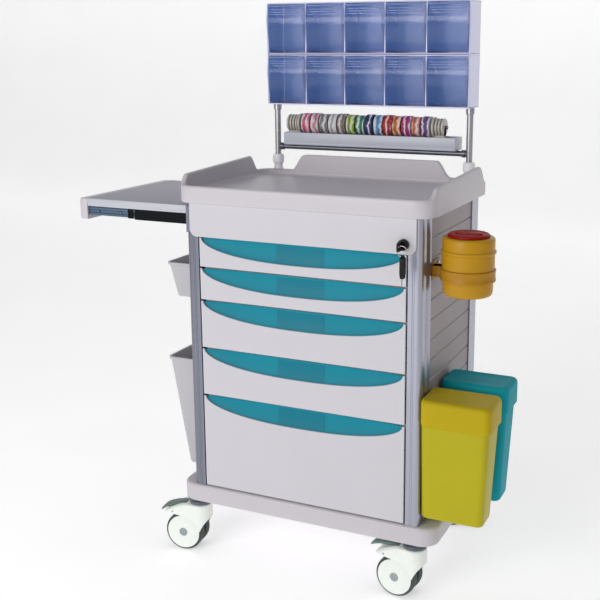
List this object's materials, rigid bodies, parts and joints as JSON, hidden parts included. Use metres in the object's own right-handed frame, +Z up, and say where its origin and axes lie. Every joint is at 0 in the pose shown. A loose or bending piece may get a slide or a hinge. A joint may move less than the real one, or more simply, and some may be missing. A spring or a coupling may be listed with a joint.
{
  "type": "medical drawer trolley",
  "caption": "Hospital trolley with pull drawers, tray worktop, pull-out side shelf, tilt-bin rack, side bins and twin-wheel casters.",
  "frame": {"origin": "on the floor under the middle of the whole outline, with the side shelf pulled out", "axes": "+Z up, -Y is the front with the drawers, -X is the side with the pull-out shelf"},
  "size_m": [1.0572, 0.5135, 1.333],
  "materials": {
    "abs_body": "satin moulded ABS",
    "column": "satin anodised",
    "side_skin": "satin ribbed sheet",
    "handle_teal": "gloss",
    "drawer_front": "satin",
    "rail_steel": "zinc plated",
    "lock_black": "gloss",
    "post_metal": "satin",
    "collar_grey": "satin",
    "bin_frame": "gloss",
    "bin_blue": "translucent gloss",
    "label_tray": "satin",
    "label_paper": "paper rolls in several colours",
    "sharps_gold": "gloss",
    "sharps_lid": "gloss",
    "holder_grey": "satin",
    "waste_yellow": "gloss",
    "waste_teal": "gloss",
    "storage_grey": "gloss",
    "shelf_board": "satin",
    "caster_body": "satin",
    "caster_head": "satin",
    "caster_tyre": "matt",
    "pedal_green": "satin",
    "screw_steel": "satin"
  },
  "bodies": {
    "trolley": {"base_plate": "abs_body", "frame_columns": "column", "side_panel_left": "side_skin", "side_panel_right": "side_skin", "back_panel": "side_skin", "front_fascia": "drawer_front", "worktop": "abs_body", "slide_rails_fixed": "rail_steel", "lock_housing": "lock_black", "rack_posts": "post_metal", "post_collars": "collar_grey", "bin_frames": "bin_frame", "label_tray": "label_tray", "sharps_container": "sharps_gold", "sharps_holder": "holder_grey", "waste_bin_yellow": "waste_yellow", "waste_bin_teal": "waste_teal", "storage_box_upper": "storage_grey", "storage_box_lower": "storage_grey", "caster_plates": "caster_head", "fasteners": "screw_steel"},
    "drawer_1": {"drawer_1_body": "drawer_front", "drawer_1_handle": "handle_teal"},
    "drawer_2": {"drawer_2_body": "drawer_front", "drawer_2_handle": "handle_teal"},
    "drawer_3": {"drawer_3_body": "drawer_front", "drawer_3_handle": "handle_teal"},
    "drawer_4": {"drawer_4_body": "drawer_front", "drawer_4_handle": "handle_teal"},
    "drawer_5": {"drawer_5_body": "drawer_front", "drawer_5_handle": "handle_teal"},
    "side_shelf": {"side_shelf": "shelf_board", "shelf_slides_inner": "rail_steel"},
    "shelf_mid": {"shelf_slides_mid": "rail_steel"},
    "caster_fl": {"caster_fl_fork": "caster_body"},
    "wheel_fl": {"caster_fl_wheel": "caster_tyre"},
    "caster_fr": {"caster_fr_fork": "caster_body"},
    "wheel_fr": {"caster_fr_wheel": "caster_tyre"},
    "caster_rl": {"caster_rl_fork": "caster_body"},
    "wheel_rl": {"caster_rl_wheel": "caster_tyre"},
    "caster_rr": {"caster_rr_fork": "caster_body"},
    "wheel_rr": {"caster_rr_wheel": "caster_tyre"},
    "brake_left": {"brake_pedal_left": "pedal_green"},
    "brake_right": {"brake_pedal_right": "pedal_green"},
    "tilt_bin_01": {"tilt_bin_01": "bin_blue"},
    "tilt_bin_02": {"tilt_bin_02": "bin_blue"},
    "tilt_bin_03": {"tilt_bin_03": "bin_blue"},
    "tilt_bin_04": {"tilt_bin_04": "bin_blue"},
    "tilt_bin_05": {"tilt_bin_05": "bin_blue"},
    "tilt_bin_06": {"tilt_bin_06": "bin_blue"},
    "tilt_bin_07": {"tilt_bin_07": "bin_blue"},
    "tilt_bin_08": {"tilt_bin_08": "bin_blue"},
    "tilt_bin_09": {"tilt_bin_09": "bin_blue"},
    "tilt_bin_10": {"tilt_bin_10": "bin_blue"},
    "waste_lid_yellow": {"waste_lid_yellow": "waste_yellow"},
    "waste_lid_teal": {"waste_lid_teal": "waste_teal"},
    "sharps_lid": {"sharps_lid": "sharps_lid"},
    "lock_key": {"lock_key": "lock_black"},
    "spare_key": {"spare_key": "lock_black"},
    "label_rolls": {"label_rolls": "label_paper"}
  },
  "joints": [
    {"name": "drawer_1_slide", "type": "slide", "parent": "trolley", "child": "drawer_1", "axis": [0, -1, 0], "range_m": [0, 0.28]},
    {"name": "drawer_2_slide", "type": "slide", "parent": "trolley", "child": "drawer_2", "axis": [0, -1, 0], "range_m": [0, 0.28]},
    {"name": "drawer_3_slide", "type": "slide", "parent": "trolley", "child": "drawer_3", "axis": [0, -1, 0], "range_m": [0, 0.28]},
    {"name": "drawer_4_slide", "type": "slide", "parent": "trolley", "child": "drawer_4", "axis": [0, -1, 0], "range_m": [0, 0.28]},
    {"name": "drawer_5_slide", "type": "slide", "parent": "trolley", "child": "drawer_5", "axis": [0, -1, 0], "range_m": [0, 0.28]},
    {"name": "shelf_slide", "type": "slide", "parent": "trolley", "child": "side_shelf", "axis": [1, 0, 0], "range_m": [0, 0.27]},
    {"name": "shelf_mid_slide", "type": "slide", "parent": "trolley", "child": "shelf_mid", "axis": [1, 0, 0], "range_m": [0, 0.135]},
    {"name": "caster_fl_swivel", "type": "hinge", "parent": "trolley", "child": "caster_fl", "pos_m": [-0.2055, -0.187, 0.126], "axis": [0, 0, 1], "continuous": true},
    {"name": "caster_fl_wheel_spin", "type": "hinge", "parent": "caster_fl", "child": "wheel_fl", "pos_m": [-0.24322, -0.19163, 0.048], "axis": [-0.1219, 0.9925, 0], "continuous": true},
    {"name": "caster_fr_swivel", "type": "hinge", "parent": "trolley", "child": "caster_fr", "pos_m": [0.3555, -0.187, 0.126], "axis": [0, 0, 1], "continuous": true},
    {"name": "caster_fr_wheel_spin", "type": "hinge", "parent": "caster_fr", "child": "wheel_fr", "pos_m": [0.31771, -0.18303, 0.048], "axis": [0.1045, 0.9945, 0], "continuous": true},
    {"name": "caster_rl_swivel", "type": "hinge", "parent": "trolley", "child": "caster_rl", "pos_m": [-0.1985, 0.202, 0.126], "axis": [0, 0, 1], "continuous": true},
    {"name": "caster_rl_wheel_spin", "type": "hinge", "parent": "caster_rl", "child": "wheel_rl", "pos_m": [-0.23613, 0.20729, 0.048], "axis": [0.1392, 0.9903, 0], "continuous": true},
    {"name": "caster_rr_swivel", "type": "hinge", "parent": "trolley", "child": "caster_rr", "pos_m": [0.3615, 0.202, 0.126], "axis": [0, 0, 1], "continuous": true},
    {"name": "caster_rr_wheel_spin", "type": "hinge", "parent": "caster_rr", "child": "wheel_rr", "pos_m": [0.32497, 0.19153, 0.048], "axis": [-0.2756, 0.9613, 0], "continuous": true},
    {"name": "brake_left_press", "type": "hinge", "parent": "caster_fl", "child": "brake_left", "pos_m": [-0.24322, -0.19163, 0.112], "axis": [0.1219, -0.9925, 0], "range_deg": [-11, 0]},
    {"name": "brake_right_press", "type": "hinge", "parent": "caster_fr", "child": "brake_right", "pos_m": [0.31771, -0.18303, 0.112], "axis": [-0.1045, -0.9945, 0], "range_deg": [0, 11]},
    {"name": "tilt_bin_01_tilt", "type": "hinge", "parent": "trolley", "child": "tilt_bin_01", "pos_m": [-0.1325, 0.176, 1.216], "axis": [1, 0, 0], "range_deg": [0, 35]},
    {"name": "tilt_bin_02_tilt", "type": "hinge", "parent": "trolley", "child": "tilt_bin_02", "pos_m": [-0.0255, 0.176, 1.216], "axis": [1, 0, 0], "range_deg": [0, 35]},
    {"name": "tilt_bin_03_tilt", "type": "hinge", "parent": "trolley", "child": "tilt_bin_03", "pos_m": [0.0815, 0.176, 1.216], "axis": [1, 0, 0], "range_deg": [0, 35]},
    {"name": "tilt_bin_04_tilt", "type": "hinge", "parent": "trolley", "child": "tilt_bin_04", "pos_m": [0.1885, 0.176, 1.216], "axis": [1, 0, 0], "range_deg": [0, 35]},
    {"name": "tilt_bin_05_tilt", "type": "hinge", "parent": "trolley", "child": "tilt_bin_05", "pos_m": [0.2955, 0.176, 1.216], "axis": [1, 0, 0], "range_deg": [0, 35]},
    {"name": "tilt_bin_06_tilt", "type": "hinge", "parent": "trolley", "child": "tilt_bin_06", "pos_m": [-0.1325, 0.176, 1.089], "axis": [1, 0, 0], "range_deg": [0, 35]},
    {"name": "tilt_bin_07_tilt", "type": "hinge", "parent": "trolley", "child": "tilt_bin_07", "pos_m": [-0.0255, 0.176, 1.089], "axis": [1, 0, 0], "range_deg": [0, 35]},
    {"name": "tilt_bin_08_tilt", "type": "hinge", "parent": "trolley", "child": "tilt_bin_08", "pos_m": [0.0815, 0.176, 1.089], "axis": [1, 0, 0], "range_deg": [0, 35]},
    {"name": "tilt_bin_09_tilt", "type": "hinge", "parent": "trolley", "child": "tilt_bin_09", "pos_m": [0.1885, 0.176, 1.089], "axis": [1, 0, 0], "range_deg": [0, 35]},
    {"name": "tilt_bin_10_tilt", "type": "hinge", "parent": "trolley", "child": "tilt_bin_10", "pos_m": [0.2955, 0.176, 1.089], "axis": [1, 0, 0], "range_deg": [0, 35]},
    {"name": "waste_lid_yellow_hinge", "type": "hinge", "parent": "trolley", "child": "waste_lid_yellow", "pos_m": [0.3745, -0.169, 0.479], "axis": [0, -1, 0], "range_deg": [0, 75]},
    {"name": "waste_lid_teal_hinge", "type": "hinge", "parent": "trolley", "child": "waste_lid_teal", "pos_m": [0.3745, -0.029, 0.479], "axis": [0, -1, 0], "range_deg": [0, 75]},
    {"name": "sharps_lid_twist", "type": "hinge", "parent": "trolley", "child": "sharps_lid", "pos_m": [0.4505, -0.144, 0.834], "axis": [0, 0, 1], "range_deg": [0, 60]},
    {"name": "lock_key_turn", "type": "hinge", "parent": "trolley", "child": "lock_key", "pos_m": [0.3305, -0.227, 0.818], "axis": [0, -1, 0], "range_deg": [0, 90]},
    {"name": "spare_key_swing", "type": "hinge", "parent": "lock_key", "child": "spare_key", "pos_m": [0.3305, -0.248, 0.818], "axis": [1, 0, 0], "range_deg": [-35, 12]},
    {"name": "label_rolls_spin", "type": "hinge", "parent": "trolley", "child": "label_rolls", "pos_m": [0.0705, 0.208, 1.03], "axis": [1, 0, 0], "continuous": true}
  ],
  "couplings": [
    {"joint": "shelf_mid_slide", "follows": "shelf_slide", "ratio": 0.5}
  ]
}
